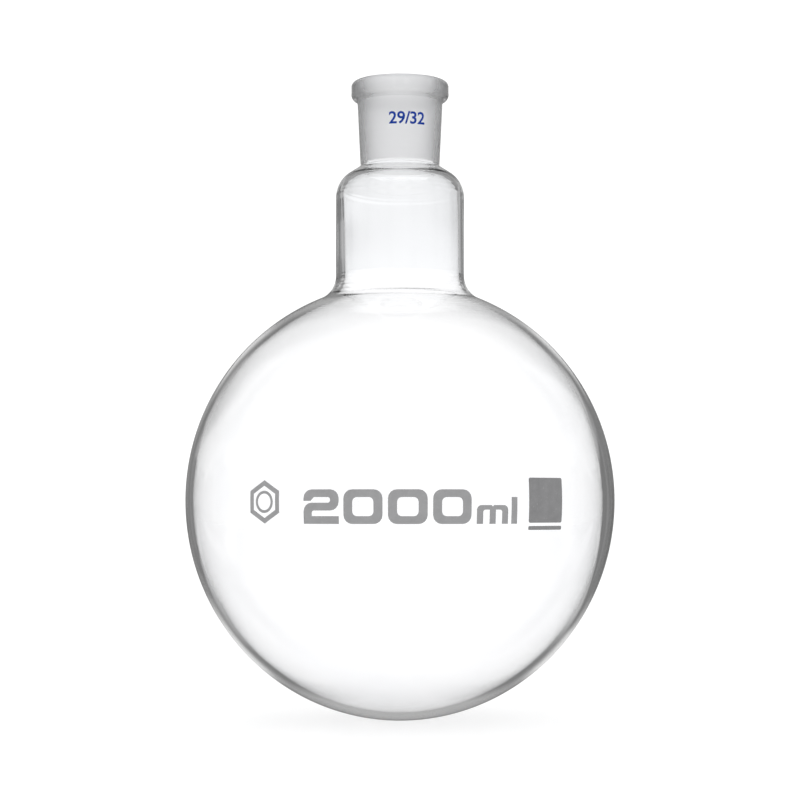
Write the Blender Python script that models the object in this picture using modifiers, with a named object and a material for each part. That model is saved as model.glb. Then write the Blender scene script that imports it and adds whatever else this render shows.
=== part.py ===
"""A 2000 ml round bottom flask of borosilicate glass with a 29/32 ground socket.

The bulb, the neck and the socket are turned shells that a glassblower seals end to end. The marks
are thin films of enamel, fired onto the bulb and the socket. Sizes are in metres, +Z is up, and
the origin is the lowest point of the bulb, on the flask's axis. The marks face -Y.
"""

import math

import bmesh
import bpy
from mathutils import Matrix, Vector

MM = 0.001

# Bulb: a ball, stretched a little along its axis, and more below its centre than above
BULB_RADIUS = 83.0 * MM
BULB_RISE = 84.2 * MM
BULB_DROP = 84.9 * MM
BULB_CENTRE_Z = BULB_DROP
BULB_WALL = 3.2 * MM

# Neck, with the throat where the bulb flares into it and the shoulder that closes to the socket
NECK_RADIUS = 25.0 * MM
NECK_WALL = 2.7 * MM
THROAT_FILLET = 9.8 * MM
SHOULDER_FILLET = 10.9 * MM
SHOULDER_TURN = math.radians(57.0)
SEAL_FILLET = 1.0 * MM

# Ground socket, size 29/32: 29.2 mm wide at its mouth, 32 mm long, a taper of 1 in 10
SOCKET_MOUTH_RADIUS = 14.6 * MM
SOCKET_GROUND_LENGTH = 32.0 * MM
SOCKET_TAPER = 1.0 / 10.0
SOCKET_WALL = 2.5 * MM
SOCKET_TOP_Z = 248.6 * MM
SOCKET_CLEAR_LENGTH = 0.8 * MM
SEAL_Z = SOCKET_TOP_Z - SOCKET_GROUND_LENGTH - SOCKET_CLEAR_LENGTH
MOUTH_CHAMFER = 0.4 * MM

# Beaded rim round the socket's mouth
RIM_RADIUS = 19.1 * MM
RIM_TOP_ROUND = 2.1 * MM
RIM_BAND = 2.9 * MM
RIM_UNDER_ROUND = 2.7 * MM
RIM_UNDER_TURN = math.radians(65.0)
RIM_FOOT_DROP = 0.9 * MM

# Enamel films
ENAMEL_THICKNESS = 0.2 * MM
ENAMEL_GRID = 4.0 * MM

# Marks on the bulb. Across is from the front line and up from the marks' foot, along the glass.
MARKS_FOOT_Z = 76.4 * MM
DIGIT_WIDTH = 13.9 * MM
DIGIT_HEIGHT = 11.9 * MM
DIGIT_STEM = 3.2 * MM
DIGIT_BAR = 2.7 * MM
DIGIT_ROUND = 3.1 * MM
DIGIT_HOLE_ROUND = 1.6 * MM
DIGIT_INNER_ROUND = 0.8 * MM
TWO_LEFT = -35.0 * MM
TWO_WIDTH = 13.3 * MM
TWO_ARM = 2.8 * MM
TWO_ARM_DROP = 4.0 * MM
ZERO_LEFTS = {"hundreds": -20.0 * MM, "tens": -4.2 * MM, "units": 11.6 * MM}
UNIT_STEM = 2.4 * MM
UNIT_M_LEFT = 27.5 * MM
UNIT_M_WIDTH = 12.2 * MM
UNIT_M_HEIGHT = 6.5 * MM
UNIT_M_ARCH = 1.6 * MM
UNIT_M_ROUND = 1.7 * MM
UNIT_M_NOTCH = 0.5 * MM
UNIT_L_LEFT = 41.1 * MM
UNIT_L_HEIGHT = 9.3 * MM
PATCH_LEFT = 48.6 * MM
PATCH_FOOT = 0.3 * MM
PATCH_WIDTH = 16.1 * MM
PATCH_HEIGHT = 15.8 * MM
PATCH_ROUND = 0.7 * MM
PATCH_BAR_DROP = 2.2 * MM
PATCH_BAR_HEIGHT = 1.4 * MM
PATCH_BAR_ROUND = 0.4 * MM
BADGE_CENTRE = (-51.6 * MM, 7.6 * MM)
BADGE_RADIUS = 7.6 * MM
BADGE_STROKE = 1.7 * MM
BADGE_RING_RADIUS = 3.9 * MM
BADGE_RING_STROKE = 1.0 * MM

# Marks on the socket, the size of its ground joint
JOINT_MARK_FOOT_Z = 229.5 * MM
JOINT_MARK_HEIGHT = 4.8 * MM
JOINT_MARK_BOLDER = 0.12 * MM
CAPITAL_HEIGHT_PER_SIZE = 0.73
JOINT_MARKS = {
    "joint_size_digit_1": ("2", -4.4 * MM),
    "joint_size_digit_2": ("9", -1.2 * MM),
    "joint_size_slash": ("/", 2.0 * MM),
    "joint_size_digit_3": ("3", 3.6 * MM),
    "joint_size_digit_4": ("2", 6.8 * MM),
}

# Fit and fineness
GAP = 0.3 * MM
TURN_STEPS = 48
BULB_RINGS = 8
ARC_STEPS = 5
CORNER_STEPS = 4
RING_SIDES = 28
TEXT_RESOLUTION = 3
WELD_DISTANCE = 0.02 * MM
AXIS_MERGE = 0.05 * MM

# The two faces of a wall, as shares of its thickness
OUTER = 0.0
INNER = 1.0

# name: base colour, roughness, transmission
FINISHES = {
    "clear_glass": ((0.96, 0.97, 0.97, 1.0), 0.02, 1.0),
    "ground_glass": ((0.90, 0.91, 0.91, 1.0), 0.45, 1.0),
    "grey_enamel": ((0.33, 0.33, 0.33, 1.0), 0.55, 0.0),
    "blue_enamel": ((0.01, 0.05, 0.33, 1.0), 0.50, 0.0),
}


def clear_scene():
    for obj in list(bpy.data.objects):
        bpy.data.objects.remove(obj)


def new_collection(name):
    collection = bpy.data.collections.new(name)
    bpy.context.scene.collection.children.link(collection)
    return collection


def finish_material(name):
    """The Principled material of one finish, made once."""
    material = bpy.data.materials.get(name)
    if material is None:
        colour, roughness, transmission = FINISHES[name]
        material = bpy.data.materials.new(name)
        material.use_nodes = True
        shader = material.node_tree.nodes["Principled BSDF"]
        shader.inputs["Base Color"].default_value = colour
        shader.inputs["Roughness"].default_value = roughness
        shader.inputs["Metallic"].default_value = 0.0
        shader.inputs["Transmission Weight"].default_value = transmission
    return material


# Turned glass. An outline is a list of (radius, height).


def arc(centre, radius, start, end, steps=ARC_STEPS):
    """Points along an arc, its angles in radians from the radius's direction towards +Z."""
    angles = [start + (end - start) * i / steps for i in range(steps + 1)]
    return [(centre[0] + radius * math.cos(a), centre[1] + radius * math.sin(a)) for a in angles]


def ball_height(z):
    """The height of the bulb's point that lies z above the centre of an unstretched ball."""
    return BULB_CENTRE_Z + z * (BULB_RISE if z > 0.0 else BULB_DROP) / BULB_RADIUS


def bulb_side(wall):
    """One face of the bulb's wall, OUTER or INNER, from the throat down to the lowest point.

    The throat's fillet touches the ball and the neck's line from outside, so its centre is a
    fillet further out than both.
    """
    ball_radius = BULB_RADIUS - wall * BULB_WALL
    neck_radius = NECK_RADIUS - wall * NECK_WALL
    fillet = THROAT_FILLET + wall * NECK_WALL
    out = neck_radius + fillet
    up = math.sqrt((ball_radius + fillet) ** 2 - out**2)
    touch = math.atan2(up, out)
    flare = arc((out, up), fillet, math.pi, math.pi + touch)
    upper = arc((0.0, 0.0), ball_radius, touch, 0.0, BULB_RINGS)[1:]
    lower = arc((0.0, 0.0), ball_radius, 0.0, -math.pi / 2, BULB_RINGS)[1:]
    lower[-1] = (0.0, -ball_radius)
    return [(r, ball_height(z)) for r, z in flare + upper + lower]


def throat_z():
    """The height at which both faces of the throat have turned into the neck's straight tube."""
    return max(bulb_side(OUTER)[0][1], bulb_side(INNER)[0][1])


def bulb_outline():
    """From the inner lowest point, up the inner face, over the mouth and down the outer face."""
    mouth_z = throat_z() + GAP
    mouth = [(NECK_RADIUS - NECK_WALL, mouth_z), (NECK_RADIUS, mouth_z)]
    return bulb_side(INNER)[::-1] + mouth + bulb_side(OUTER)


def socket_radius(z):
    """The socket's outer wall, which is parallel to its ground bore."""
    return SOCKET_MOUTH_RADIUS + SOCKET_WALL - (SOCKET_TOP_Z - z) * SOCKET_TAPER / 2


def neck_side(wall):
    """One face of the neck's wall, from the seal over the shoulder to the tube's foot."""
    seal_radius = socket_radius(SEAL_Z) - wall * SOCKET_WALL
    seal_fillet = SEAL_FILLET + wall * SOCKET_WALL
    seal_centre = (seal_radius + seal_fillet, SEAL_Z)
    seal = arc(seal_centre, seal_fillet, math.pi, math.pi + SHOULDER_TURN)
    tube_radius = NECK_RADIUS - wall * NECK_WALL
    fillet = SHOULDER_FILLET - wall * NECK_WALL
    turned_radius = tube_radius - fillet * (1 - math.cos(SHOULDER_TURN))
    turned_z = seal[-1][1] - (turned_radius - seal[-1][0]) / math.tan(SHOULDER_TURN)
    centre = (tube_radius - fillet, turned_z - fillet * math.sin(SHOULDER_TURN))
    shoulder = arc(centre, fillet, SHOULDER_TURN, 0.0)
    return seal + shoulder + [(tube_radius, throat_z() + 2 * GAP)]


def neck_outline():
    """Closed: down the outer face and back up the inner face."""
    return neck_side(OUTER) + neck_side(INNER)[::-1]


def rim_side():
    """The rim's outer face, from its flat top to the socket's outer wall."""
    top_centre = (RIM_RADIUS - RIM_TOP_ROUND, SOCKET_TOP_Z - RIM_TOP_ROUND)
    top = arc(top_centre, RIM_TOP_ROUND, math.pi / 2, 0.0, CORNER_STEPS)
    under_centre = (RIM_RADIUS - RIM_UNDER_ROUND, top_centre[1] - RIM_BAND)
    under = arc(under_centre, RIM_UNDER_ROUND, 0.0, -RIM_UNDER_TURN, CORNER_STEPS)
    wall_z = under[-1][1] - RIM_FOOT_DROP
    return top + under + [(socket_radius(wall_z), wall_z)]


def socket_outline():
    """Closed: down the rim and the outer wall and back up the ground bore."""
    foot_z = SEAL_Z + GAP
    wall_foot = socket_radius(foot_z)
    bore = [
        (wall_foot - SOCKET_WALL, foot_z),
        (SOCKET_MOUTH_RADIUS, SOCKET_TOP_Z - MOUTH_CHAMFER),
        (SOCKET_MOUTH_RADIUS + MOUTH_CHAMFER, SOCKET_TOP_Z),
    ]
    return rim_side() + [(wall_foot, foot_z)] + bore


def turned_glass(name, outline, closed, finish, collection):
    """A solid turned about the Z axis by a Screw modifier."""
    count = len(outline)
    edges = [(i, i + 1) for i in range(count - 1)]
    if closed:
        edges.append((count - 1, 0))
    mesh = bpy.data.meshes.new(name)
    mesh.from_pydata([(r, 0.0, z) for r, z in outline], edges, [])
    mesh.materials.append(finish_material(finish))
    obj = bpy.data.objects.new(name, mesh)
    collection.objects.link(obj)
    screw = obj.modifiers.new("turn", "SCREW")
    screw.steps = TURN_STEPS
    screw.render_steps = TURN_STEPS
    screw.use_merge_vertices = True
    screw.merge_threshold = AXIS_MERGE
    screw.use_smooth_shade = True


# Flat outlines of the marks. An outline is a closed list of (across, up).


def rounded(corners):
    """An outline through (across, up, radius) corners, with an arc at each rounded corner."""
    outline = []
    for i, (x, y, radius) in enumerate(corners):
        corner = Vector((x, y))
        if radius == 0.0:
            outline.append(corner)
            continue
        before = (Vector(corners[i - 1][:2]) - corner).normalized()
        after = (Vector(corners[(i + 1) % len(corners)][:2]) - corner).normalized()
        half = before.angle(after) / 2
        centre = corner + (before + after).normalized() * radius / math.sin(half)
        start = corner + before * radius / math.tan(half) - centre
        end = corner + after * radius / math.tan(half) - centre
        turn = -start.angle_signed(end)
        for step in range(CORNER_STEPS + 1):
            outline.append(centre + Matrix.Rotation(turn * step / CORNER_STEPS, 2) @ start)
    return outline


def rectangle(left, foot, width, height, radius=0.0):
    right = left + width
    top = foot + height
    corners = [(left, foot), (left, top), (right, top), (right, foot)]
    return rounded([(x, y, radius) for x, y in corners])


def regular(centre, radius, sides):
    """A regular polygon with a corner at its top, or a circle where it has many sides."""
    return arc(centre, radius, math.pi / 2, 5 * math.pi / 2, sides)[:-1]


def zero_outlines(left):
    hole_width = DIGIT_WIDTH - 2 * DIGIT_STEM
    hole_height = DIGIT_HEIGHT - 2 * DIGIT_BAR
    return [
        rectangle(left, 0.0, DIGIT_WIDTH, DIGIT_HEIGHT, DIGIT_ROUND),
        rectangle(left + DIGIT_STEM, DIGIT_BAR, hole_width, hole_height, DIGIT_HOLE_ROUND),
    ]


def two_outlines():
    """An arm, a bar over to a bowl on the right, a bar back to the left, and a bar at the foot."""
    left = TWO_LEFT
    right = left + TWO_WIDTH
    stem = left + DIGIT_STEM
    bowl = right - DIGIT_STEM
    under_top_bar = DIGIT_HEIGHT - DIGIT_BAR
    arm_foot = DIGIT_HEIGHT - TWO_ARM_DROP
    over_waist = (DIGIT_HEIGHT + DIGIT_BAR) / 2
    under_waist = over_waist - DIGIT_BAR
    corners = [
        (left, DIGIT_HEIGHT, DIGIT_ROUND),
        (right, DIGIT_HEIGHT, DIGIT_ROUND),
        (right, under_waist, DIGIT_ROUND),
        (stem, under_waist, DIGIT_INNER_ROUND),
        (stem, DIGIT_BAR, 0.0),
        (right, DIGIT_BAR, 0.0),
        (right, 0.0, 0.0),
        (left, 0.0, 0.0),
        (left, over_waist, DIGIT_ROUND),
        (bowl, over_waist, DIGIT_INNER_ROUND),
        (bowl, under_top_bar, DIGIT_INNER_ROUND),
        (stem + DIGIT_INNER_ROUND, under_top_bar, DIGIT_INNER_ROUND),
        (left + TWO_ARM, arm_foot, 0.0),
        (left, arm_foot, 0.0),
    ]
    return [rounded(corners)]


def unit_m_outlines():
    """Three stems under two arches that meet in a shallow notch."""
    left = UNIT_M_LEFT
    right = left + UNIT_M_WIDTH
    middle = (left + right) / 2
    half_stem = UNIT_STEM / 2
    under_arch = UNIT_M_HEIGHT - UNIT_M_ARCH
    inner_round = UNIT_M_ROUND / 2
    corners = [
        (left, 0.0, 0.0),
        (left, UNIT_M_HEIGHT, UNIT_M_ROUND),
        (middle - UNIT_M_NOTCH, UNIT_M_HEIGHT, 0.0),
        (middle, UNIT_M_HEIGHT - UNIT_M_NOTCH, 0.0),
        (middle + UNIT_M_NOTCH, UNIT_M_HEIGHT, 0.0),
        (right, UNIT_M_HEIGHT, UNIT_M_ROUND),
        (right, 0.0, 0.0),
        (right - UNIT_STEM, 0.0, 0.0),
        (right - UNIT_STEM, under_arch, inner_round),
        (middle + half_stem, under_arch, 0.0),
        (middle + half_stem, 0.0, 0.0),
        (middle - half_stem, 0.0, 0.0),
        (middle - half_stem, under_arch, 0.0),
        (left + UNIT_STEM, under_arch, inner_round),
        (left + UNIT_STEM, 0.0, 0.0),
    ]
    return [rounded(corners)]


def hexagon_outlines():
    """A hexagonal frame, its stroke measured across its sides."""
    return [
        regular(BADGE_CENTRE, BADGE_RADIUS, 6),
        regular(BADGE_CENTRE, BADGE_RADIUS - BADGE_STROKE / math.cos(math.pi / 6), 6),
    ]


def ring_outlines():
    return [
        regular(BADGE_CENTRE, BADGE_RING_RADIUS, RING_SIDES),
        regular(BADGE_CENTRE, BADGE_RING_RADIUS - BADGE_RING_STROKE, RING_SIDES),
    ]


def patch_outlines():
    return [rectangle(PATCH_LEFT, PATCH_FOOT, PATCH_WIDTH, PATCH_HEIGHT, PATCH_ROUND)]


def patch_bar_outlines():
    foot = -PATCH_BAR_DROP
    return [rectangle(PATCH_LEFT, foot, PATCH_WIDTH, PATCH_BAR_HEIGHT, PATCH_BAR_ROUND)]


def bulb_marks():
    """Each mark on the bulb: its node's name, and its outlines with any holes."""
    marks = {f"capacity_digit_{place}": zero_outlines(x) for place, x in ZERO_LEFTS.items()}
    marks["capacity_digit_thousands"] = two_outlines()
    marks["capacity_unit_m"] = unit_m_outlines()
    marks["capacity_unit_l"] = [rectangle(UNIT_L_LEFT, 0.0, UNIT_STEM, UNIT_L_HEIGHT)]
    marks["marking_patch"] = patch_outlines()
    marks["patch_bar"] = patch_bar_outlines()
    marks["badge_hexagon"] = hexagon_outlines()
    marks["badge_ring"] = ring_outlines()
    return marks


def outline_curve(name, outlines):
    """A filled 2D curve of an enamel film's thickness."""
    curve = bpy.data.curves.new(name, "CURVE")
    curve.dimensions = "2D"
    curve.fill_mode = "BOTH"
    curve.extrude = ENAMEL_THICKNESS / 2
    for outline in outlines:
        spline = curve.splines.new("POLY")
        spline.points.add(len(outline) - 1)
        for point, (x, y) in zip(spline.points, outline):
            point.co = (x, y, 0.0, 1.0)
        spline.use_cyclic_u = True
    return curve


def character_curve(name, character, left):
    """One character of the joint's size, of an enamel film's thickness."""
    text = bpy.data.curves.new(name, "FONT")
    text.body = character
    text.size = JOINT_MARK_HEIGHT / CAPITAL_HEIGHT_PER_SIZE
    text.offset = JOINT_MARK_BOLDER
    text.offset_x = left
    text.fill_mode = "BOTH"
    text.extrude = ENAMEL_THICKNESS / 2
    text.resolution_u = TEXT_RESOLUTION
    return text


# Films. A flat film is cut on a grid and laid round the glass.


def cut_on_grid(work, axis):
    """Cuts a mesh at every grid line across an axis, so that it can follow a curved surface."""
    normal = Vector((1.0, 0.0, 0.0)) if axis == 0 else Vector((0.0, 1.0, 0.0))
    places = [vertex.co[axis] for vertex in work.verts]
    first = math.ceil(min(places) / ENAMEL_GRID)
    last = math.floor(max(places) / ENAMEL_GRID)
    for line in range(first, last + 1):
        everything = work.verts[:] + work.edges[:] + work.faces[:]
        point = normal * line * ENAMEL_GRID
        bmesh.ops.bisect_plane(work, geom=everything, plane_co=point, plane_no=normal)


def film_mesh(name, curve):
    """The flat film as one closed mesh, cut on the grid. The curve's object is removed."""
    flat = bpy.data.objects.new(name, curve)
    bpy.context.scene.collection.objects.link(flat)
    bpy.context.view_layer.update()
    graph = bpy.context.evaluated_depsgraph_get()
    mesh = bpy.data.meshes.new_from_object(flat.evaluated_get(graph))
    bpy.data.objects.remove(flat)
    work = bmesh.new()
    work.from_mesh(mesh)
    bmesh.ops.remove_doubles(work, verts=work.verts, dist=WELD_DISTANCE)
    cut_on_grid(work, 0)
    cut_on_grid(work, 1)
    bmesh.ops.triangulate(work, faces=work.faces)
    work.to_mesh(mesh)
    work.free()
    mesh.name = name
    return mesh


def on_bulb(across, up, out):
    """The point that far across, up and out from the foot of the bulb's marks."""
    turn = across / BULB_RADIUS
    tilt = (MARKS_FOOT_Z - BULB_CENTRE_Z + up) / BULB_RADIUS
    radius = (BULB_RADIUS + out) * math.cos(tilt)
    z = ball_height((BULB_RADIUS + out) * math.sin(tilt))
    return Vector((radius * math.sin(turn), -radius * math.cos(turn), z))


def on_socket(across, up, out):
    """The point that far across, up and out from the foot of the socket's marks."""
    z = JOINT_MARK_FOOT_Z + up
    turn = across / socket_radius(JOINT_MARK_FOOT_Z)
    radius = socket_radius(z) + out
    return Vector((radius * math.sin(turn), -radius * math.cos(turn), z))


def enamel_mark(name, curve, place, finish, collection):
    """A film of enamel that follows the glass, a gap off its surface."""
    mesh = film_mesh(name, curve)
    for vertex in mesh.vertices:
        across, up, depth = vertex.co
        vertex.co = place(across, up, GAP + ENAMEL_THICKNESS / 2 + depth)
    mesh.materials.clear()
    mesh.materials.append(finish_material(finish))
    collection.objects.link(bpy.data.objects.new(name, mesh))


def main():
    clear_scene()
    flask = new_collection("round_bottom_flask")
    turned_glass("bulb", bulb_outline(), False, "clear_glass", flask)
    turned_glass("neck", neck_outline(), True, "clear_glass", flask)
    turned_glass("ground_socket", socket_outline(), True, "ground_glass", flask)
    for name, outlines in bulb_marks().items():
        enamel_mark(name, outline_curve(name, outlines), on_bulb, "grey_enamel", flask)
    for name, (character, left) in JOINT_MARKS.items():
        enamel_mark(name, character_curve(name, character, left), on_socket, "blue_enamel", flask)


main()
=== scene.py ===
"""Looks of the round bottom flask: blown glass with an uneven wall, a ground bore and fired enamel marks.

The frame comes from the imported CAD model. The three turned glass nodes are replaced by finer shells of the
same outside, and the enamel films are laid close on the glass. Sizes are in metres, and the marks face -Y.
"""

import math

import bmesh
import bpy
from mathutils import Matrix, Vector


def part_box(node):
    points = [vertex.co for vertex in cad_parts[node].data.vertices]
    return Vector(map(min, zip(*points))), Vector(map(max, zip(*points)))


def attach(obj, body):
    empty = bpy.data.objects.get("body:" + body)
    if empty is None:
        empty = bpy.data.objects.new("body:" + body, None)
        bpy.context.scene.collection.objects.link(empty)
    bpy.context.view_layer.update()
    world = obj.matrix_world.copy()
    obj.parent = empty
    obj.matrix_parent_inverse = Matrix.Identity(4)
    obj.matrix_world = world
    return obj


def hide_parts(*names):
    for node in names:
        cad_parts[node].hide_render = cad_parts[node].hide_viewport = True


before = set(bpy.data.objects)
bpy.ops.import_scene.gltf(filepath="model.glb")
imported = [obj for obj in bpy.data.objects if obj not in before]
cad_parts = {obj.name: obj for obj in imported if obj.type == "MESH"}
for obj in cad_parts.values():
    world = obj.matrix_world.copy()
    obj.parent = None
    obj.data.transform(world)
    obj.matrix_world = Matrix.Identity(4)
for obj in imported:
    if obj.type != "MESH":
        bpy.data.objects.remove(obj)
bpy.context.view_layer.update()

MM = 0.001

# What the frame gives: the bulb's and neck's outside, the rim, and the seams halfway between the CAD nodes
bulb_low, bulb_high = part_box("bulb")
neck_low, neck_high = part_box("neck")
socket_low, socket_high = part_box("ground_socket")
BULB_RADIUS = bulb_high.x
NECK_RADIUS = neck_high.x
RIM_RADIUS = socket_high.x
TOP_Z = socket_high.z
THROAT_SEAM_Z = (bulb_high.z + neck_low.z) / 2
SEAL_SEAM_Z = (neck_high.z + socket_low.z) / 2

# Outside of the bulb, the throat and the shoulder, as the CAD model has them
BULB_RISE = 84.2 * MM
BULB_DROP = 84.9 * MM
BULB_CENTRE_Z = bulb_low.z + BULB_DROP
THROAT_FILLET = 9.8 * MM
SHOULDER_FILLET = 10.9 * MM
SHOULDER_TURN = math.radians(57.0)
SEAL_Z = neck_high.z
SEAL_FILLET = 1.0 * MM

# Walls. The cavity of a blown bulb isn't quite central: the wall is thinner on the left and thicker on the
# right, most of all at the bulb's middle.
CAVITY_RADIUS = 79.4 * MM
CAVITY_RISE = 81.5 * MM
CAVITY_DROP = 81.6 * MM
CAVITY_FILLET = 10.8 * MM
CAVITY_SHIFT = -0.6 * MM
SHIFT_FADE = 0.9
SHIFT_FADE_START = 14.0 * MM
SHIFT_FADE_END = 50.0 * MM
NECK_WALL = 2.7 * MM
NECK_SHIFT = 0.45 * MM
NECK_SHIFT_Z = 140.0 * MM
SOCKET_SHIFT_Z = 190.0 * MM

# The inner face's slow waves: share, waves in a turn, phase, and twist in radians per metre of height
WAVER = 0.11 * MM
WAVER_FADE_RADIUS = 25.0 * MM
WAVER_FADE_Z = 195.0 * MM
WAVES = (
    (0.5, 2, 0.7, 31.0),
    (0.3, 3, -1.1, 57.0),
    (0.2, 5, 2.3, -83.0),
)

# Fine rings that a glassblower's flame leaves inside the throat and the shoulder: height, spread, spacing
# and depth, and how their phase drifts in a turn: share, waves in a turn, phase
RIPPLES = (
    (168.0 * MM, 7.0 * MM, 2.3 * MM, 0.02 * MM),
    (204.0 * MM, 4.0 * MM, 1.5 * MM, 0.012 * MM),
)
RIPPLE_DRIFT = ((0.9, 1, 0.4), (0.5, 3, 1.9))
RIPPLE_REACH = 2.2

# Socket and rim
SOCKET_MOUTH_RADIUS = 14.6 * MM
SOCKET_WALL = 2.5 * MM
SOCKET_TAPER = 1.0 / 10.0
GROUND_LENGTH = 32.0 * MM
MOUTH_ROUND = 0.9 * MM
RIM_TOP_ROUND = 2.1 * MM
RIM_BAND = 2.9 * MM
RIM_UNDER_ROUND = 2.7 * MM
RIM_UNDER_TURN = math.radians(65.0)
RIM_FOOT_DROP = 0.9 * MM

# Fineness of the turned glass
SIDES = 224
BALL_RINGS = 56
FILLET_RINGS = 14
STEP = 2.0 * MM
RIPPLE_STEP = 0.3 * MM
SHARP_EDGE = math.radians(38.0)

# Enamel films, above the glass
FILM_FOOT = 0.02 * MM
FILM_TOP = 0.06 * MM
FILM_GRID = 1.3 * MM
FILM_WELD = 0.01 * MM
SMALLEST_EDGE = 0.001 * MM
FLAT_ANGLE = math.radians(1.0)

# Camera: level with the bulb's middle, tipped up a little
CAMERA_DISTANCE = 0.8
CAMERA_Z = 82.85 * MM
CAMERA_TIP = math.radians(2.924)
CAMERA_LENS = 92.503

OUTER = 0
INNER = 1
CLEAR = 0
FUSED = 1
GROUND = 2
RIM = 3


# Outlines. An outline's point is (radius, height, face, finish of the span to the next point).


def arc(centre, radius, start, end, steps=FILLET_RINGS):
    angles = [start + (end - start) * i / steps for i in range(steps + 1)]
    return [(centre[0] + radius * math.cos(a), centre[1] + radius * math.sin(a)) for a in angles]


def ball_side(radius, rise, drop, neck_radius, fillet):
    """From the throat down over a stretched ball to its lowest point."""
    out = neck_radius + fillet
    up = math.sqrt((radius + fillet) ** 2 - out**2)
    touch = math.atan2(up, out)
    flare = arc((out, up), fillet, math.pi, math.pi + touch)
    upper = arc((0.0, 0.0), radius, touch, 0.0, BALL_RINGS)[1:]
    lower = arc((0.0, 0.0), radius, 0.0, -math.pi / 2, BALL_RINGS)[1:]
    lower[-1] = (0.0, -radius)
    return [
        (r, BULB_CENTRE_Z + z * (rise if z > 0.0 else drop) / radius) for r, z in flare + upper + lower
    ]


def bulb_side(face):
    if face == OUTER:
        side = ball_side(BULB_RADIUS, BULB_RISE, BULB_DROP, NECK_RADIUS, THROAT_FILLET)
        return [(NECK_RADIUS, THROAT_SEAM_Z)] + side
    neck_radius = NECK_RADIUS - NECK_WALL
    side = ball_side(CAVITY_RADIUS, CAVITY_RISE, CAVITY_DROP, neck_radius, CAVITY_FILLET)
    return [(neck_radius, THROAT_SEAM_Z)] + side


def socket_radius(z):
    return SOCKET_MOUTH_RADIUS + SOCKET_WALL - (TOP_Z - z) * SOCKET_TAPER / 2


def neck_side(face):
    """From the seam under the socket, over the shoulder, to the seam above the throat."""
    seal_radius = socket_radius(SEAL_Z) - face * SOCKET_WALL
    seal_fillet = SEAL_FILLET + face * SOCKET_WALL
    seal_centre = (seal_radius + seal_fillet, SEAL_Z)
    seal = arc(seal_centre, seal_fillet, math.pi, math.pi + SHOULDER_TURN)
    tube_radius = NECK_RADIUS - face * NECK_WALL
    fillet = SHOULDER_FILLET - face * NECK_WALL
    turned_radius = tube_radius - fillet * (1 - math.cos(SHOULDER_TURN))
    turned_z = seal[-1][1] - (turned_radius - seal[-1][0]) / math.tan(SHOULDER_TURN)
    centre = (tube_radius - fillet, turned_z - fillet * math.sin(SHOULDER_TURN))
    shoulder = arc(centre, fillet, SHOULDER_TURN, 0.0)
    top_radius = socket_radius(SEAL_SEAM_Z) - face * SOCKET_WALL
    return [(top_radius, SEAL_SEAM_Z)] + seal + shoulder + [(tube_radius, THROAT_SEAM_Z)]


def rim_side():
    top_centre = (RIM_RADIUS - RIM_TOP_ROUND, TOP_Z - RIM_TOP_ROUND)
    top = arc(top_centre, RIM_TOP_ROUND, math.pi / 2, 0.0)
    under_centre = (RIM_RADIUS - RIM_UNDER_ROUND, top_centre[1] - RIM_BAND)
    under = arc(under_centre, RIM_UNDER_ROUND, 0.0, -RIM_UNDER_TURN)
    wall_z = under[-1][1] - RIM_FOOT_DROP
    return top + under + [(socket_radius(wall_z), wall_z)]


def with_face(points, face, finish):
    return [(r, z, face, finish) for r, z in points]


def bulb_outline():
    inner = with_face(bulb_side(INNER)[::-1], INNER, CLEAR)
    inner[-1] = inner[-1][:3] + (FUSED,)
    return inner + with_face(bulb_side(OUTER), OUTER, CLEAR)


def neck_outline():
    outer = with_face(neck_side(OUTER), OUTER, CLEAR)
    outer[-1] = outer[-1][:3] + (FUSED,)
    inner = with_face(neck_side(INNER)[::-1], INNER, CLEAR)
    inner[-1] = inner[-1][:3] + (FUSED,)
    return outer + inner


def socket_outline():
    foot = socket_radius(SEAL_SEAM_Z)
    outer = with_face(rim_side(), OUTER, RIM) + [(foot, SEAL_SEAM_Z, OUTER, FUSED)]
    outer[-2] = outer[-2][:3] + (CLEAR,)
    ground_foot_z = TOP_Z - GROUND_LENGTH
    mouth = arc((SOCKET_MOUTH_RADIUS + MOUTH_ROUND, TOP_Z - MOUTH_ROUND), MOUTH_ROUND, math.pi, math.pi / 2)
    bore = [
        (foot - SOCKET_WALL, SEAL_SEAM_Z, INNER, CLEAR),
        (socket_radius(ground_foot_z) - SOCKET_WALL, ground_foot_z, INNER, GROUND),
    ]
    return outer + bore + with_face(mouth, INNER, GROUND)


def fine_step(z):
    near = any(abs(z - at) < RIPPLE_REACH * spread for at, spread, _, _ in RIPPLES)
    return RIPPLE_STEP if near else STEP


def finer(outline, closed):
    """The outline with its long spans cut, so that every span can follow the uneven wall."""
    cut = []
    followers = outline[1:] + ([outline[0]] if closed else [])
    for (r, z, face, finish), (next_r, next_z, next_face, _) in zip(outline, followers):
        count = 1
        if finish != FUSED and face == next_face:
            span = math.hypot(next_r - r, next_z - z)
            step = fine_step((z + next_z) / 2) if face == INNER else STEP
            count = max(1, math.ceil(span / step))
        for i in range(count):
            share = i / count
            cut.append((r + (next_r - r) * share, z + (next_z - z) * share, face, finish))
    if not closed:
        cut.append(outline[-1])
    return cut


# The uneven inner face


def smooth_share(value, start, end):
    share = min(1.0, max(0.0, (value - start) / (end - start)))
    return share * share * (3.0 - 2.0 * share)


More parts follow.
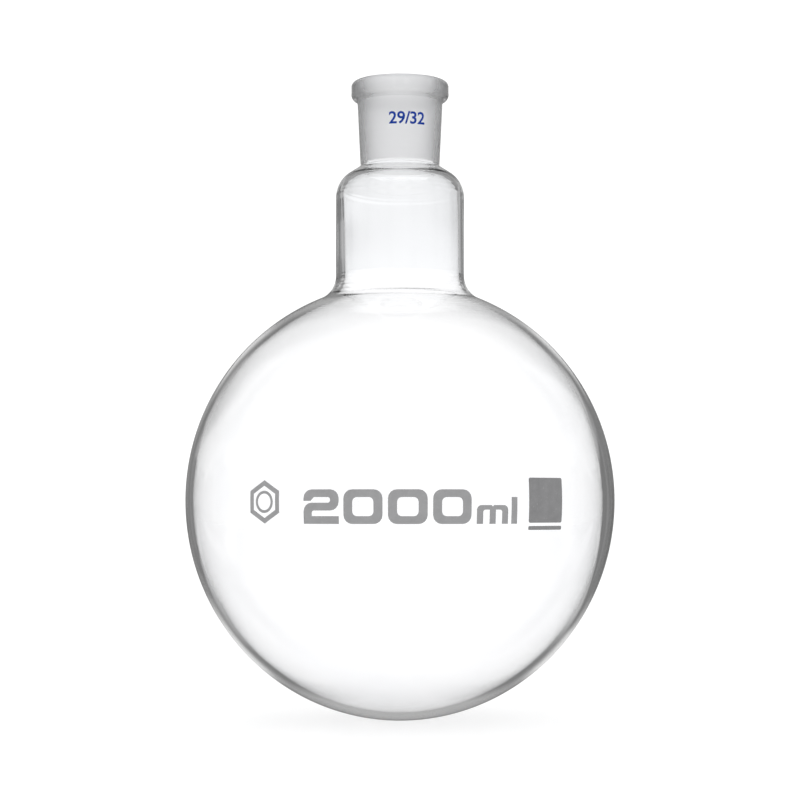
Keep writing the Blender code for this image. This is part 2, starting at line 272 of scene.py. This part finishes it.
def inner_shift(z):
    """How far to the right the cavity's axis lies at a height."""
    off_middle = smooth_share(abs(z - BULB_CENTRE_Z), SHIFT_FADE_START, SHIFT_FADE_END)
    bulb_shift = CAVITY_SHIFT * (1.0 - SHIFT_FADE * off_middle)
    into_neck = smooth_share(z, NECK_SHIFT_Z, THROAT_SEAM_Z)
    into_socket = smooth_share(z, SOCKET_SHIFT_Z, SEAL_Z)
    return bulb_shift * (1.0 - into_neck) + NECK_SHIFT * into_neck * (1.0 - into_socket)


def inner_waver(turn, z, radius):
    """How far the inner face stands off its true radius, by the turn round the axis and the height."""
    slow = sum(share * math.sin(count * turn + phase + twist * z) for share, count, phase, twist in WAVES)
    fade = smooth_share(radius, 0.0, WAVER_FADE_RADIUS) * (1.0 - smooth_share(z, WAVER_FADE_Z, SEAL_Z))
    stand = WAVER * slow * fade
    drift = sum(share * math.sin(count * turn + phase) for share, count, phase in RIPPLE_DRIFT)
    for at, spread, spacing, depth in RIPPLES:
        share = math.exp(-(((z - at) / spread) ** 2))
        stand += depth * share * math.sin(math.tau * (z - at) / spacing + drift)
    return stand


def turned_point(r, z, face, turn):
    if face == OUTER:
        return (r * math.cos(turn), r * math.sin(turn), z)
    if r > 0.0:
        r += inner_waver(turn, z, r)
    return (r * math.cos(turn) + inner_shift(z), r * math.sin(turn), z)


def turned_glass(name, outline, closed, finishes):
    """A closed shell turned about the Z axis, with a vertex where an open outline meets the axis."""
    rings = finer(outline, closed)
    places = []
    rows = []
    for r, z, face, _ in rings:
        if r == 0.0:
            rows.append([len(places)] * SIDES)
            places.append(turned_point(r, z, face, 0.0))
            continue
        rows.append(list(range(len(places), len(places) + SIDES)))
        places += [turned_point(r, z, face, math.tau * i / SIDES) for i in range(SIDES)]
    faces = []
    slots = []
    last = len(rings) if closed else len(rings) - 1
    for index in range(last):
        here = rows[index]
        after = rows[(index + 1) % len(rings)]
        for i in range(SIDES):
            j = (i + 1) % SIDES
            corners = [here[i], after[i], after[j], here[j]]
            faces.append(list(dict.fromkeys(corners)))
            slots.append(rings[index][3])
    mesh = bpy.data.meshes.new(name)
    mesh.from_pydata(places, [], faces)
    mesh.polygons.foreach_set("material_index", slots)
    mesh.polygons.foreach_set("use_smooth", [True] * len(faces))
    for finish in finishes:
        mesh.materials.append(finish)
    work = bmesh.new()
    work.from_mesh(mesh)
    bmesh.ops.recalc_face_normals(work, faces=work.faces)
    work.to_mesh(mesh)
    work.free()
    mesh.set_sharp_from_angle(angle=SHARP_EDGE)
    obj = bpy.data.objects.new(name, mesh)
    bpy.context.scene.collection.objects.link(obj)
    return obj


# Enamel films: each CAD film is unrolled flat, cut on a fine grid and laid back close to the glass


def off_bulb(point):
    """(across, up, out) of a point near the bulb, up from its middle."""
    z = point.z - BULB_CENTRE_Z
    z *= BULB_RADIUS / (BULB_RISE if z > 0.0 else BULB_DROP)
    level = math.hypot(point.x, point.y)
    across = math.atan2(point.x, -point.y) * BULB_RADIUS
    return Vector((across, math.atan2(z, level) * BULB_RADIUS, math.hypot(level, z) - BULB_RADIUS))


def onto_bulb(across, up, out):
    turn = across / BULB_RADIUS
    tilt = up / BULB_RADIUS
    radius = BULB_RADIUS + out
    z = radius * math.sin(tilt)
    level = radius * math.cos(tilt)
    z *= (BULB_RISE if z > 0.0 else BULB_DROP) / BULB_RADIUS
    return Vector((level * math.sin(turn), -level * math.cos(turn), BULB_CENTRE_Z + z))


def off_socket(point):
    out = math.hypot(point.x, point.y) - socket_radius(point.z)
    return Vector((math.atan2(point.x, -point.y) * SOCKET_MOUTH_RADIUS, point.z, out))


def onto_socket(across, up, out):
    turn = across / SOCKET_MOUTH_RADIUS
    radius = socket_radius(up) + out
    return Vector((radius * math.sin(turn), -radius * math.cos(turn), up))


def cut_on_grid(work, axis):
    normal = Vector((1.0, 0.0, 0.0)) if axis == 0 else Vector((0.0, 1.0, 0.0))
    places = [vertex.co[axis] for vertex in work.verts]
    first = math.ceil(min(places) / FILM_GRID)
    last = math.floor(max(places) / FILM_GRID)
    for line in range(first, last + 1):
        everything = work.verts[:] + work.edges[:] + work.faces[:]
        point = normal * line * FILM_GRID
        bmesh.ops.bisect_plane(work, geom=everything, plane_co=point, plane_no=normal)


def enamel_film(node, off_glass, onto_glass, finish):
    """A closed film of even thickness, whose outline is the CAD node's."""
    work = bmesh.new()
    work.from_mesh(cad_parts[node].data)
    bmesh.ops.remove_doubles(work, verts=work.verts, dist=SMALLEST_EDGE)
    for vertex in work.verts:
        vertex.co = off_glass(vertex.co)
    middle = sum(vertex.co.z for vertex in work.verts) / len(work.verts)
    bmesh.ops.dissolve_limit(
        work,
        angle_limit=FLAT_ANGLE,
        use_dissolve_boundaries=False,
        verts=work.verts,
        edges=work.edges,
    )
    cut_on_grid(work, 0)
    cut_on_grid(work, 1)
    bmesh.ops.remove_doubles(work, verts=work.verts, dist=FILM_WELD)
    bmesh.ops.triangulate(work, faces=work.faces)
    bmesh.ops.dissolve_degenerate(work, dist=SMALLEST_EDGE, edges=work.edges)
    loose = [vertex for vertex in work.verts if not vertex.link_faces]
    bmesh.ops.delete(work, geom=loose, context="VERTS")
    bmesh.ops.triangulate(work, faces=work.faces)
    for vertex in work.verts:
        across, up, out = vertex.co
        vertex.co = onto_glass(across, up, FILM_TOP if out > middle else FILM_FOOT)
    bmesh.ops.recalc_face_normals(work, faces=work.faces)
    if work.calc_volume(signed=True) < 0.0:
        bmesh.ops.reverse_faces(work, faces=work.faces)
    mesh = bpy.data.meshes.new("enamel_" + node)
    work.to_mesh(mesh)
    work.free()
    mesh.polygons.foreach_set("use_smooth", [True] * len(mesh.polygons))
    mesh.set_sharp_from_angle(angle=SHARP_EDGE)
    mesh.materials.append(finish)
    obj = bpy.data.objects.new("enamel_" + node, mesh)
    bpy.context.scene.collection.objects.link(obj)
    return obj


# Materials. Noise scales count features per metre, and a pair holds the two ends of a range.

GLASS_IOR = 1.47
CAST_SCALE = 22.0
HANDLED_SCALE = 70.0
HANDLED_ROUGHNESS = (0.0, 0.012)
WAVE_SCALE = 55.0
WAVE_STRETCH = (1.0, 1.0, 1.6)
WAVE_STRENGTH = 0.25
WAVE_DEPTH = 0.1 * MM
BLOWN_SHADES = ((0.985, 0.988, 0.996), (0.998, 0.998, 1.0))
# The neck's shades are greyer than the bulb's: painted shade for the grey its walls take from the light
NECK_PAINTED_SHADE_TINTS = ((0.945, 0.95, 0.96), (0.965, 0.97, 0.975))
# The rim's shades are much darker: painted shade for the grey the beaded rim takes from the light
RIM_PAINTED_SHADE_TINTS = ((0.74, 0.745, 0.755), (0.79, 0.795, 0.805))

FROST_SCALE = 1500.0
FROST_SHARE = 0.6
GRINDING_SCALE = 1300.0
GRINDING_STRETCH = (0.05, 0.05, 1.0)
GROUND_ROUGHNESS = (0.42, 0.58)
GROUND_STRENGTH = 0.35
GROUND_DEPTH = 0.05 * MM
GROUND_SHADES = ((0.80, 0.802, 0.81), (0.88, 0.882, 0.89))

MOTTLE_SCALE = 260.0
MOTTLE_SHARE = 0.55
GRAIN_SCALE = 3600.0
SPECK_SCALE = 1400.0
SPECK_RANGE = (0.66, 0.78)
ENAMEL_SPECULAR = 0.15
ENAMEL_ROUGHNESS = (0.42, 0.62)
GRAIN_STRENGTH = 0.3
GRAIN_DEPTH = 0.02 * MM
DIGIT_SHADES = ((0.27, 0.27, 0.275), (0.325, 0.325, 0.33), (0.42, 0.42, 0.42))
DIGIT_SPECKS = 0.35
PATCH_SHADES = ((0.19, 0.19, 0.193), (0.245, 0.245, 0.248), (0.36, 0.36, 0.36))
PATCH_SPECKS = 0.4
JOINT_SHADES = ((0.002, 0.028, 0.21), (0.004, 0.046, 0.34), (0.02, 0.07, 0.42))
JOINT_SPECKS = 0.25


class Tree:
    """A short way to add and join nodes."""

    def __init__(self, tree):
        self.tree = tree

    def node(self, kind, **settings):
        made = self.tree.nodes.new(kind)
        for name, value in settings.items():
            setattr(made, name, value)
        return made

    def join(self, source, target):
        self.tree.links.new(source, target)

    def maths(self, operation, first, second=0.0, third=0.0):
        made = self.node("ShaderNodeMath", operation=operation)
        for socket, value in zip(made.inputs, (first, second, third)):
            if isinstance(value, (int, float)):
                socket.default_value = value
            else:
                self.join(value, socket)
        return made.outputs[0]

    def product(self, *factors):
        result = factors[0]
        for factor in factors[1:]:
            result = self.maths("MULTIPLY", result, factor)
        return result

    def shared(self, share, first, second):
        """A share of the first value, and the rest of the second."""
        return self.maths("ADD", self.product(first, share), self.product(second, 1.0 - share))

    def noise(self, place, scale, detail=2.0, roughness=0.5):
        made = self.node("ShaderNodeTexNoise")
        made.inputs["Scale"].default_value = scale
        made.inputs["Detail"].default_value = detail
        made.inputs["Roughness"].default_value = roughness
        self.join(place, made.inputs["Vector"])
        return made.outputs["Fac"]

    def stretched(self, place, scale):
        made = self.node("ShaderNodeMapping")
        made.inputs["Scale"].default_value = scale
        self.join(place, made.inputs["Vector"])
        return made.outputs["Vector"]

    def between(self, share, low, high, start=0.3, end=0.7):
        """A value from low to high, as share goes from start to end."""
        made = self.node("ShaderNodeMapRange")
        self.join(share, made.inputs["Value"])
        made.inputs["From Min"].default_value = start
        made.inputs["From Max"].default_value = end
        made.inputs["To Min"].default_value = low
        made.inputs["To Max"].default_value = high
        return made.outputs["Result"]

    def mixed(self, share, low, high):
        """A value from low to high."""
        made = self.node("ShaderNodeMix", data_type="FLOAT")
        for name, value in (("Factor", share), ("A", low), ("B", high)):
            if isinstance(value, (int, float)):
                made.inputs[name].default_value = value
            else:
                self.join(value, made.inputs[name])
        return made.outputs["Result"]

    def blend(self, share, low, high):
        """A colour from low to high."""
        made = self.node("ShaderNodeMix", data_type="RGBA")
        self.join(share, made.inputs["Factor"])
        for socket, colour in ((made.inputs[6], low), (made.inputs[7], high)):
            if isinstance(colour, tuple):
                socket.default_value = (*colour, 1.0)
            else:
                self.join(colour, socket)
        return made.outputs[2]

    def bump(self, height, strength, distance):
        made = self.node("ShaderNodeBump")
        made.inputs["Strength"].default_value = strength
        made.inputs["Distance"].default_value = distance
        self.join(height, made.inputs["Height"])
        return made.outputs["Normal"]


def new_material(name):
    material = bpy.data.materials.new(name)
    material.use_nodes = True
    shader = material.node_tree.nodes["Principled BSDF"]
    tree = Tree(material.node_tree)
    place = tree.node("ShaderNodeTexCoord").outputs["Object"]
    return material, tree, shader, place


def new_glass(name):
    material, tree, shader, place = new_material(name)
    shader.inputs["Transmission Weight"].default_value = 1.0
    shader.inputs["IOR"].default_value = GLASS_IOR
    return material, tree, shader, place


def clear_glass(name, shades):
    """Blown borosilicate glass: nearly colourless, its surface a little wavy and faintly handled. The neck's
    and the rim's shades are greyer and darker, which is painted shade.
    """
    material, tree, shader, place = new_glass(name)
    cast = tree.between(tree.noise(place, CAST_SCALE), 0.0, 1.0)
    tree.join(tree.blend(cast, *shades), shader.inputs["Base Color"])
    handled = tree.between(tree.noise(place, HANDLED_SCALE, 4.0), *HANDLED_ROUGHNESS)
    tree.join(handled, shader.inputs["Roughness"])
    waves = tree.noise(tree.stretched(place, WAVE_STRETCH), WAVE_SCALE, 1.0)
    tree.join(tree.bump(waves, WAVE_STRENGTH, WAVE_DEPTH), shader.inputs["Normal"])
    return material


def ground_glass():
    """The bore's ground face: a fine even frost with faint rings from the grinding."""
    material, tree, shader, place = new_glass("ground_glass_bore")
    frost = tree.noise(place, FROST_SCALE, 4.0, 0.6)
    rings = tree.noise(tree.stretched(place, GRINDING_STRETCH), GRINDING_SCALE, 2.0)
    ground = tree.shared(FROST_SHARE, frost, rings)
    tree.join(tree.blend(tree.between(ground, 0.0, 1.0), *GROUND_SHADES), shader.inputs["Base Color"])
    tree.join(tree.between(ground, *GROUND_ROUGHNESS), shader.inputs["Roughness"])
    tree.join(tree.bump(ground, GROUND_STRENGTH, GROUND_DEPTH), shader.inputs["Normal"])
    return material


def fused_glass():
    """The face where two glass parts are melted into one, which nothing shows."""
    material, _, shader, _ = new_glass("fused_seam")
    shader.inputs["Alpha"].default_value = 0.0
    return material


def enamel(name, shades, specks):
    """Fired enamel: a matt ceramic film with a fine grain, thinner specks and soft mottling."""
    dark, light, speck = shades
    material, tree, shader, place = new_material(name)
    shader.inputs["Specular IOR Level"].default_value = ENAMEL_SPECULAR
    mottle = tree.noise(place, MOTTLE_SCALE, 3.0, 0.6)
    grain = tree.noise(place, GRAIN_SCALE, 2.0)
    cast = tree.shared(MOTTLE_SHARE, mottle, grain)
    body = tree.blend(tree.between(cast, 0.0, 1.0), dark, light)
    thin = tree.between(tree.noise(place, SPECK_SCALE, 1.0), 0.0, specks, *SPECK_RANGE)
    tree.join(tree.blend(thin, body, speck), shader.inputs["Base Color"])
    tree.join(tree.between(grain, *ENAMEL_ROUGHNESS), shader.inputs["Roughness"])
    tree.join(tree.bump(grain, GRAIN_STRENGTH, GRAIN_DEPTH), shader.inputs["Normal"])
    return material


# Glass

CLEAR_GLASS = clear_glass("clear_glass_blown", BLOWN_SHADES)
# The neck's glass is a greyer copy of the clear glass, as painted shade
NECK_GLASS = clear_glass("clear_glass_neck_painted_shade", NECK_PAINTED_SHADE_TINTS)
# The rim's glass is a darker copy of the clear glass, as painted shade
RIM_GLASS = clear_glass("clear_glass_rim_painted_shade", RIM_PAINTED_SHADE_TINTS)
GROUND_GLASS = ground_glass()
FUSED_GLASS = fused_glass()
ALL_GLASS = (CLEAR_GLASS, FUSED_GLASS, GROUND_GLASS, RIM_GLASS)

bulb = turned_glass("blown_bulb", bulb_outline(), False, ALL_GLASS[:2])
neck = turned_glass("drawn_neck", neck_outline(), True, (NECK_GLASS, FUSED_GLASS))
socket = turned_glass("ground_socket_glass", socket_outline(), True, ALL_GLASS)
for piece, node, slot in (
    (bulb, "bulb", "clear_glass"),
    (neck, "neck", "clear_glass"),
    (socket, "ground_socket", "ground_glass"),
):
    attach(piece, "root")
    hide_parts(node)

# Marks

DIGIT_GREY = enamel("grey_enamel_digits", DIGIT_SHADES, DIGIT_SPECKS)
PATCH_GREY = enamel("grey_enamel_patch", PATCH_SHADES, PATCH_SPECKS)
JOINT_BLUE = enamel("blue_enamel_joint", JOINT_SHADES, JOINT_SPECKS)

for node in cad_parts:
    if node in ("bulb", "neck", "ground_socket"):
        continue
    if node.startswith("joint_size"):
        film = enamel_film(node, off_socket, onto_socket, JOINT_BLUE)
    else:
        solid = node in ("marking_patch", "patch_bar")
        film = enamel_film(node, off_bulb, onto_bulb, PATCH_GREY if solid else DIGIT_GREY)
    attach(film, "root")
    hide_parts(node)

# Studio: a pale floor that runs out into a white room, which is a lit screen all round. What the glass
# mirrors is a greyer room with light fields in it, so that the edges of the walls read dark against
# the screen.

FLOOR_REACH = 4.0
FLOOR_NOISE_SCALE = 9.0
FLOOR_ROUGHNESS = 0.9
FLOOR_SHADES = ((0.34, 0.34, 0.343), (0.36, 0.36, 0.363))
FLOOR_GLOW = 0.72
WHITE = (1.0, 1.0, 1.0, 1.0)

# Levels of the screen and what it loses, and levels of the room and the fields in the glass's mirror
SCREEN_LEVEL = 1.15
TOP_LOSS = 0.08
TOP_SIDE_LOSS = 0.11
EDGE_SIDE_LOSS = 0.14
HIGH_LOSS = 0.1
WALL_ROOM_LEVEL = 0.17
FRONT_ROOM_LEVEL = 0.3
BACK_ROOM_LEVEL = 0.93
SKY_ROOM_LEVEL = 0.9
TOP_FIELD_LEVEL = 0.3
CORNER_FIELD_LEVEL = 0.38
BOX_LEVEL = 0.1
STRIP_LEVEL = 0.1

# Where they lie, in degrees. Up is above level, tilt is off level, and aside is from the nearest repeat of
# the pattern. Slant is the turn up from level round that repeat, and away is how far out from it. A pair is
# a ramp, and two pairs are a window: a ramp up and a ramp down.
REPEAT = 45.0
FAR_REPEAT = 90.0
TOP_UP = (6.4, 8.6)
TOP_SIDE_UP = (6.2, 8.0)
TOP_SIDE_ASIDE = (0.0, 7.0)
EDGE_SIDE_ASIDE = (8.0, 14.0)
HIGH_UP = (10.0, 30.0)
BOX_TILT = (13.0, 30.0)
BOX_ASIDE = (13.0, 20.0)
OVERHEAD_TILT = (38.0, 60.0)
TOP_FIELD_UP = ((5.8, 6.6), (13.0, 17.0))
TOP_FIELD_ASIDE = (12.0, 20.0)
CORNER_SLANT = ((30.0, 37.0), (48.0, 56.0))
CORNER_AWAY = ((5.0, 8.0), (22.0, 30.0))
FRONT_CORNER_SLANT = ((24.0, 36.0), (48.0, 56.0))
FRONT_CORNER_AWAY = ((8.0, 11.0), (22.0, 30.0))
OVER_NECK_UP = (9.5, 11.0)
UNDER_NECK_UP = (-4.0, -2.0)
STRIP_ASIDE = ((15.0, 17.0), (18.0, 20.0))
STRIP_SLANT = (20.0, 30.0)

# How many glass faces light has passed on its way to the eye when a wall has mirrored it
WALL_CROSSINGS = 2.0
CROSSING_MARGIN = 0.6


def rise(tree, angle, ramp, low=0.0, high=1.0):
    start, end = ramp
    return tree.between(angle, low, high, math.radians(start), math.radians(end))


def fall(tree, angle, ramp, high=1.0):
    return rise(tree, angle, ramp, high, 0.0)


def window(tree, angle, ramps):
    return tree.product(rise(tree, angle, ramps[0]), fall(tree, angle, ramps[1]))


def aside_from(tree, heading, repeat):
    return tree.maths("PINGPONG", heading, math.radians(repeat / 2))


def slant_and_away(tree, tilt, aside):
    squares = tree.maths("ADD", tree.maths("POWER", tilt, 2.0), tree.maths("POWER", aside, 2.0))
    return tree.maths("ARCTAN2", tilt, aside), tree.maths("SQRT", squares)


def undiffused(tree):
    return tree.maths("LESS_THAN", tree.node("ShaderNodeLightPath").outputs["Diffuse Depth"], 0.5)


def mirrored(tree):
    """1 for light that the glass has mirrored on its way to the eye, and 0 for the rest."""
    glossy = tree.node("ShaderNodeLightPath").outputs["Glossy Depth"]
    return tree.product(tree.maths("GREATER_THAN", glossy, 0.5), undiffused(tree))


def seen_screen(tree, up, aside):
    """The screen behind the flask. Through the glass it is dimmer above, and to the sides of its top."""
    top = rise(tree, up, TOP_UP, 0.0, TOP_LOSS)
    beside_top = rise(tree, up, TOP_SIDE_UP)
    top_side = tree.product(beside_top, rise(tree, aside, TOP_SIDE_ASIDE, 0.0, TOP_SIDE_LOSS))
    edge_side = tree.product(beside_top, rise(tree, aside, EDGE_SIDE_ASIDE, 0.0, EDGE_SIDE_LOSS))
    loss = rise(tree, up, HIGH_UP, 0.0, HIGH_LOSS)
    for part in (top, top_side, edge_side):
        loss = tree.maths("ADD", loss, part)
    through = tree.node("ShaderNodeLightPath").outputs["Is Transmission Ray"]
    dimmed = tree.maths("SUBTRACT", SCREEN_LEVEL, loss)
    return tree.mixed(tree.product(through, undiffused(tree)), SCREEN_LEVEL, dimmed)


def mirrored_room(tree, up, heading):
    """The room in the glass's mirror, as a wall's front, its inside and the glass behind it mirror it."""
    tilt = tree.maths("ABSOLUTE", up)
    aside = aside_from(tree, heading, REPEAT)
    slant, away = slant_and_away(tree, tilt, aside)
    far_slant, far_away = slant_and_away(tree, tilt, aside_from(tree, heading, FAR_REPEAT))
    box = tree.product(rise(tree, tilt, BOX_TILT), fall(tree, aside, BOX_ASIDE))

    # The front of a wall. Its corner fields stay off the heights that the neck mirrors.
    off_neck = tree.maths("MAXIMUM", rise(tree, up, OVER_NECK_UP), fall(tree, up, UNDER_NECK_UP))
    front_corner = tree.product(
        window(tree, far_slant, FRONT_CORNER_SLANT),
        window(tree, far_away, FRONT_CORNER_AWAY),
        off_neck,
    )
    overhead = tree.maths("MAXIMUM", box, rise(tree, tilt, OVERHEAD_TILT))
    light = tree.maths("MAXIMUM", overhead, front_corner)
    front = tree.mixed(light, FRONT_ROOM_LEVEL, SKY_ROOM_LEVEL)

    # The inside of a wall
    top_field = tree.product(
        window(tree, up, TOP_FIELD_UP),
        fall(tree, aside, TOP_FIELD_ASIDE, TOP_FIELD_LEVEL),
    )
    corner = tree.product(
        window(tree, slant, CORNER_SLANT),
        window(tree, away, CORNER_AWAY),
        CORNER_FIELD_LEVEL,
    )
    fields = tree.maths("MAXIMUM", tree.maths("MAXIMUM", top_field, corner), tree.product(box, BOX_LEVEL))
    strip = tree.product(window(tree, aside, STRIP_ASIDE), fall(tree, slant, STRIP_SLANT, STRIP_LEVEL))
    wall = tree.maths("ADD", tree.maths("ADD", fields, strip), WALL_ROOM_LEVEL)

    crossings = tree.node("ShaderNodeLightPath").outputs["Transmission Depth"]
    in_wall = tree.maths("COMPARE", crossings, WALL_CROSSINGS, CROSSING_MARGIN)
    behind = tree.maths("GREATER_THAN", crossings, WALL_CROSSINGS + CROSSING_MARGIN)
    return tree.mixed(behind, tree.mixed(in_wall, front, wall), BACK_ROOM_LEVEL)


def white_room():
    """The studio's light. It repeats by heading, so that the flask looks much alike from all round."""
    world = bpy.data.worlds.new("studio")
    bpy.context.scene.world = world
    world.use_nodes = True
    tree = Tree(world.node_tree)
    parts = tree.node("ShaderNodeSeparateXYZ")
    tree.join(tree.node("ShaderNodeTexCoord").outputs["Generated"], parts.inputs[0])
    x, y, z = parts.outputs
    heading = tree.maths("ARCTAN2", x, y)
    up = tree.maths("ARCSINE", z)
    screen = seen_screen(tree, up, aside_from(tree, heading, REPEAT))
    level = tree.mixed(mirrored(tree), screen, mirrored_room(tree, up, heading))
    sky = world.node_tree.nodes["Background"]
    sky.inputs["Color"].default_value = WHITE
    tree.join(level, sky.inputs["Strength"])


def pale_floor():
    """A floor lit from within, so that it is as white as the screen. The glass doesn't mirror it."""
    mesh = bpy.data.meshes.new("floor")
    corners = [(-FLOOR_REACH, -FLOOR_REACH), (FLOOR_REACH, -FLOOR_REACH), (FLOOR_REACH, FLOOR_REACH)]
    corners.append((-FLOOR_REACH, FLOOR_REACH))
    mesh.from_pydata([(x, y, bulb_low.z) for x, y in corners], [], [(0, 1, 2, 3)])
    floor = bpy.data.objects.new("floor", mesh)
    bpy.context.scene.collection.objects.link(floor)
    material, tree, shader, place = new_material("pale_floor")
    shader.inputs["Roughness"].default_value = FLOOR_ROUGHNESS
    shader.inputs["Specular IOR Level"].default_value = 0.0
    shade = tree.between(tree.noise(place, FLOOR_NOISE_SCALE, 3.0), 0.0, 1.0)
    tree.join(tree.blend(shade, *FLOOR_SHADES), shader.inputs["Base Color"])
    shader.inputs["Emission Color"].default_value = WHITE
    shader.inputs["Emission Strength"].default_value = FLOOR_GLOW
    through = tree.node("ShaderNodeBsdfTransparent")
    mix = tree.node("ShaderNodeMixShader")
    tree.join(mirrored(tree), mix.inputs[0])
    tree.join(shader.outputs[0], mix.inputs[1])
    tree.join(through.outputs[0], mix.inputs[2])
    tree.join(mix.outputs[0], material.node_tree.nodes["Material Output"].inputs["Surface"])
    mesh.materials.append(material)


def studio_camera():
    data = bpy.data.cameras.new("camera")
    data.lens = CAMERA_LENS
    camera = bpy.data.objects.new("camera", data)
    bpy.context.scene.collection.objects.link(camera)
    camera.location = (0.0, -CAMERA_DISTANCE, CAMERA_Z)
    camera.rotation_euler = (math.pi / 2 + CAMERA_TIP, 0.0, 0.0)
    bpy.context.scene.camera = camera


white_room()
pale_floor()
studio_camera()
bpy.context.scene.view_settings.view_transform = "Standard"
